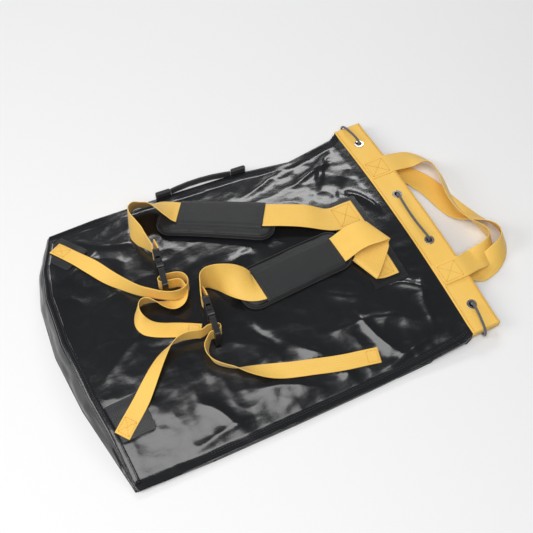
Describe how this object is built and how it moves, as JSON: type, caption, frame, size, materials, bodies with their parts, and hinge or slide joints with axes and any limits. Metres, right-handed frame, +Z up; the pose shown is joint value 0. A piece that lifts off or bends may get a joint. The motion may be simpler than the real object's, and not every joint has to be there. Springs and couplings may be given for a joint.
{
  "type": "kit bag with backpack harness",
  "caption": "Flat-lying tarpaulin kit bag with padded backpack straps, side release buckles, webbing carry handles and a drawcord mouth with eyelets.",
  "frame": {"origin": "on the floor under the bag's flat back, midway across and 300 mm from the mouth edge", "axes": "+X towards the mouth, +Y across the bag, +Z up from the floor through the harness side"},
  "size_m": [0.7539, 0.4908, 0.0965],
  "materials": {
    "tarpaulin": "glossy coated tarpaulin with soft creases",
    "patch_fabric": "glossy coated patch with a stitched edge",
    "yellow_webbing": "woven polyester webbing with a fine rib",
    "black_webbing": "woven webbing, matte",
    "pad_fabric": "matte woven cover",
    "foam": "closed-cell foam",
    "eyelet_metal": "nickel plated",
    "cord": "braided cord",
    "moulded_plastic": "moulded acetal, satin",
    "spring_steel": "plain wire"
  },
  "bodies": {
    "bag": {"upper_panel": "tarpaulin", "lower_panel": "tarpaulin", "base_panel": "tarpaulin", "base_seam": "tarpaulin", "near_side_seam": "tarpaulin", "far_side_seam": "tarpaulin", "mouth_band": "yellow_webbing", "eyelets": "eyelet_metal", "eyelet_washers": "eyelet_metal", "drawcord": "cord", "cord_end_knots": "cord", "side_handle_tabs": "black_webbing", "far_shoulder_webbing": "yellow_webbing", "far_lower_webbing": "yellow_webbing", "far_upper_patch": "patch_fabric", "far_lower_patch": "patch_fabric", "far_pad_cover": "pad_fabric", "far_pad_foam": "foam", "far_pad_binding": "pad_fabric", "far_pad_sleeve": "pad_fabric", "far_buckle_socket": "moulded_plastic", "far_buckle_plug": "moulded_plastic", "near_shoulder_webbing": "yellow_webbing", "near_lower_webbing": "yellow_webbing", "near_upper_patch": "patch_fabric", "near_lower_patch": "patch_fabric", "near_pad_cover": "pad_fabric", "near_pad_foam": "foam", "near_pad_binding": "pad_fabric", "near_pad_sleeve": "pad_fabric", "near_buckle_socket": "moulded_plastic", "near_buckle_plug": "moulded_plastic", "front_handle_sewn_ends": "yellow_webbing", "front_handle_bends": "yellow_webbing", "rear_handle_sewn_ends": "yellow_webbing", "rear_handle_bends": "yellow_webbing"},
    "carry_handles": {"front_handle": "yellow_webbing", "rear_handle": "yellow_webbing"},
    "side_grip": {"side_handle_grip": "black_webbing"},
    "cord_lock": {"cord_lock_barrel": "moulded_plastic", "cord_lock_spring": "spring_steel"},
    "cord_lock_button": {"cord_lock_plunger": "moulded_plastic"},
    "far_upper_release": {"far_release_arm_upper": "moulded_plastic"},
    "far_lower_release": {"far_release_arm_lower": "moulded_plastic"},
    "near_upper_release": {"near_release_arm_upper": "moulded_plastic"},
    "near_lower_release": {"near_release_arm_lower": "moulded_plastic"}
  },
  "joints": [
    {"name": "carry_handles_lift", "type": "hinge", "parent": "bag", "child": "carry_handles", "pos_m": [0.31, 0, 0.018], "axis": [0, -1, 0], "range_deg": [0, 100], "deforming": ["front_handle_bends", "rear_handle_bends"]},
    {"name": "side_grip_lift", "type": "hinge", "parent": "bag", "child": "side_grip", "pos_m": [-0.0065, 0.2372, 0.006], "axis": [0.9955, -0.0946, 0], "range_deg": [0, 70]},
    {"name": "cord_lock_slide", "type": "slide", "parent": "bag", "child": "cord_lock", "axis": [1, 0, 0], "range_m": [-0.035, 0]},
    {"name": "cord_lock_press", "type": "slide", "parent": "cord_lock", "child": "cord_lock_button", "axis": [0, 1, 0], "range_m": [0, 0.003], "stiffness_N_per_m": 900, "springref_m": -0.001, "deforming": ["cord_lock_spring"]},
    {"name": "far_release_upper", "type": "hinge", "parent": "bag", "child": "far_upper_release", "pos_m": [-0.14994, 0.06101, 0.07291], "axis": [-0.9845, 0.1753, 0], "range_deg": [0, 6], "stiffness_Nm_per_rad": 0.6},
    {"name": "far_release_lower", "type": "hinge", "parent": "bag", "child": "far_lower_release", "pos_m": [-0.14994, 0.06101, 0.05091], "axis": [0.9845, -0.1753, 0], "range_deg": [0, 6], "stiffness_Nm_per_rad": 0.6},
    {"name": "near_release_upper", "type": "hinge", "parent": "bag", "child": "near_upper_release", "pos_m": [-0.11445, -0.05322, 0.07375], "axis": [-0.9905, 0.1376, 0], "range_deg": [0, 6], "stiffness_Nm_per_rad": 0.6},
    {"name": "near_release_lower", "type": "hinge", "parent": "bag", "child": "near_lower_release", "pos_m": [-0.11445, -0.05322, 0.05175], "axis": [0.9905, -0.1376, 0], "range_deg": [0, 6], "stiffness_Nm_per_rad": 0.6}
  ],
  "couplings": [
    {"joint": "far_release_lower", "follows": "far_release_upper", "ratio": 1},
    {"joint": "near_release_lower", "follows": "near_release_upper", "ratio": 1}
  ]
}
